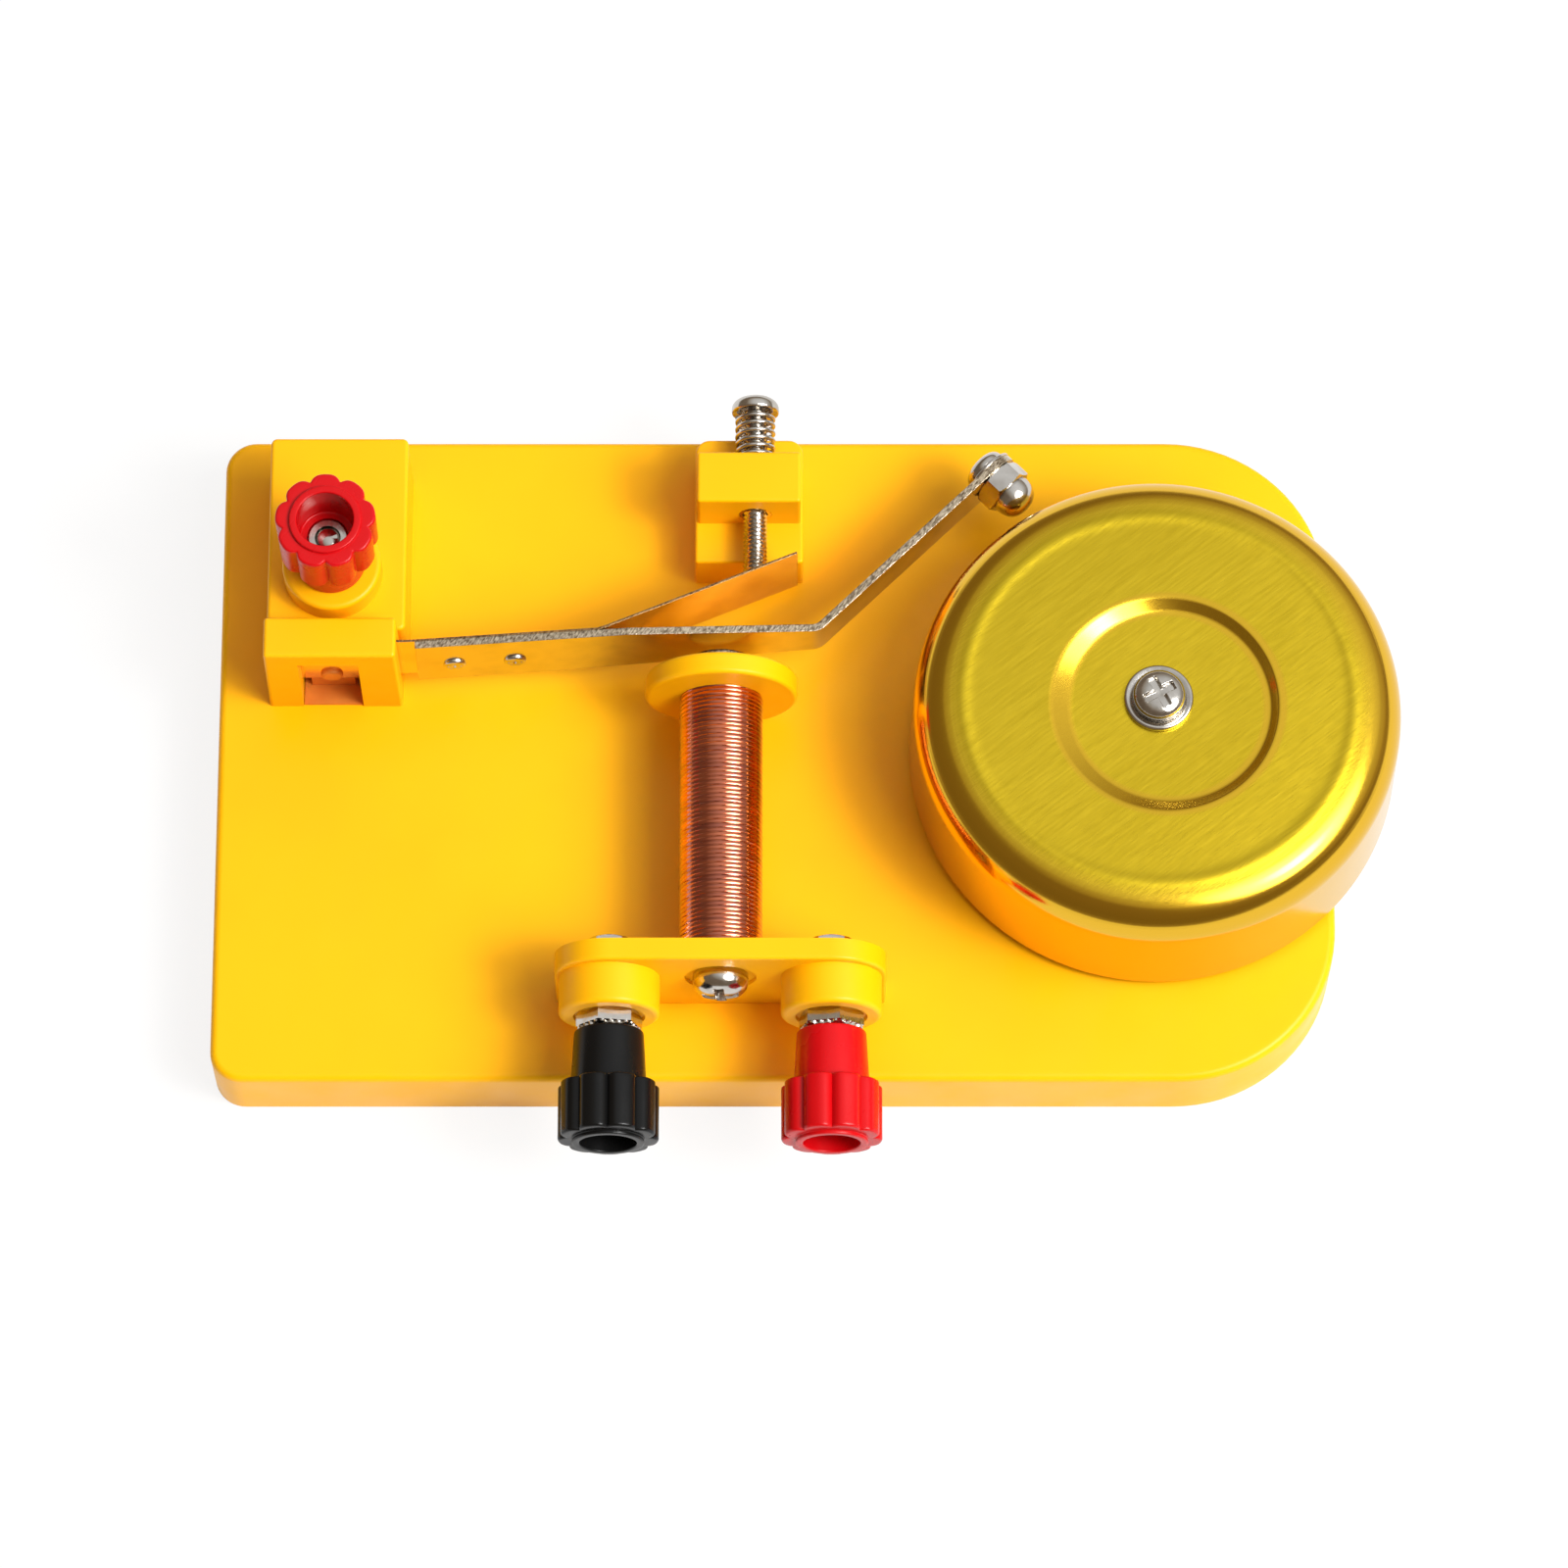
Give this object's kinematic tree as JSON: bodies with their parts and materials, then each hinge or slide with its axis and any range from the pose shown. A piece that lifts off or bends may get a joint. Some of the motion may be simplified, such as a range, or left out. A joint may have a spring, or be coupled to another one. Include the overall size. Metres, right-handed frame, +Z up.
{
  "type": "electric bell demonstrator",
  "caption": "Classroom electric bell on a flat yellow base: coil and iron core, sprung armature with hammer, contact screw, screw terminals and a domed gong.",
  "frame": {"origin": "centre of the base's underside, on the surface it stands on", "axes": "+Z up, +X along the base towards the gong, +Y from the front terminals towards the contact post"},
  "size_m": [0.1901, 0.1267, 0.054],
  "materials": {
    "yellow_plastic": "moulded, satin, bright yellow",
    "red_plastic": "moulded, satin red",
    "black_plastic": "moulded, satin black",
    "gong_metal": "pressed sheet, gold finish, brushed crown and polished shoulder",
    "nickel_steel": "nickel plated",
    "soft_iron": "rolled strip, bright",
    "spring_bronze": "rolled spring bronze",
    "copper_wire": "enamelled copper wire",
    "copper_strip": "bare copper strip",
    "turned_brass": "turned brass"
  },
  "bodies": {
    "base": {"base_plate": "yellow_plastic", "clamp_bridge": "yellow_plastic", "terminal_block": "yellow_plastic", "coil_bracket": "yellow_plastic", "coil_former": "yellow_plastic", "contact_post": "yellow_plastic", "gong_pillar": "yellow_plastic", "terminal_strip": "copper_strip", "leaf_root": "spring_bronze", "leaf_rivet": "copper_strip", "side_stud": "nickel_steel", "side_nuts": "nickel_steel", "coil_winding": "copper_wire", "core": "soft_iron", "core_screw": "nickel_steel", "front_studs": "nickel_steel", "front_nuts": "nickel_steel", "rear_nuts": "nickel_steel", "solder_tags": "nickel_steel", "contact_bush": "turned_brass", "contact_spring": "nickel_steel", "gong": "gong_metal", "gong_washer": "nickel_steel", "gong_screw": "nickel_steel", "base_screws": "nickel_steel"},
    "swing": {"armature": "soft_iron", "contact_leaf": "spring_bronze", "armature_rivets": "nickel_steel", "hammer_washer": "nickel_steel", "hammer_screw": "nickel_steel", "hammer_nut": "nickel_steel"},
    "contact_adjuster": {"contact_screw": "nickel_steel"},
    "black_bush": {"bush_black": "nickel_steel"},
    "black_knob": {"cap_black": "black_plastic"},
    "red_bush": {"bush_red": "nickel_steel"},
    "red_knob": {"cap_red": "red_plastic"},
    "side_bush": {"bush_side": "nickel_steel"},
    "side_knob": {"cap_side": "red_plastic"}
  },
  "joints": [
    {"name": "armature_swing", "type": "hinge", "parent": "base", "child": "swing", "pos_m": [-0.0588, 0.0119, 0.027], "axis": [0, 0, 1], "range_deg": [-2.1, 0], "stiffness_Nm_per_rad": 0.4, "springref_deg": 0.57},
    {"name": "contact_screw_travel", "type": "slide", "parent": "base", "child": "contact_adjuster", "axis": [0, 1, 0], "range_m": [0, 0.003], "deforming": ["contact_spring"]},
    {"name": "black_cap_lift", "type": "slide", "parent": "base", "child": "black_bush", "axis": [0, -1, 0], "range_m": [0, 0.0028]},
    {"name": "black_cap_turn", "type": "hinge", "parent": "black_bush", "child": "black_knob", "pos_m": [-0.02605, -0.05, 0.027], "axis": [0, -1, 0], "range_deg": [0, 1440.01]},
    {"name": "red_cap_lift", "type": "slide", "parent": "base", "child": "red_bush", "axis": [0, -1, 0], "range_m": [0, 0.0028]},
    {"name": "red_cap_turn", "type": "hinge", "parent": "red_bush", "child": "red_knob", "pos_m": [0.00905, -0.05, 0.027], "axis": [0, -1, 0], "range_deg": [0, 1440.01]},
    {"name": "side_cap_lift", "type": "slide", "parent": "base", "child": "side_bush", "axis": [0, 0, 1], "range_m": [0, 0.0028]},
    {"name": "side_cap_turn", "type": "hinge", "parent": "side_bush", "child": "side_knob", "pos_m": [-0.0709, 0.0251, 0.0357], "axis": [0, 0, 1], "range_deg": [0, 1440.01]}
  ],
  "couplings": [
    {"joint": "black_cap_turn", "follows": "black_cap_lift", "rad_per_m": 8976},
    {"joint": "red_cap_turn", "follows": "red_cap_lift", "rad_per_m": 8976},
    {"joint": "side_cap_turn", "follows": "side_cap_lift", "rad_per_m": 8976}
  ]
}
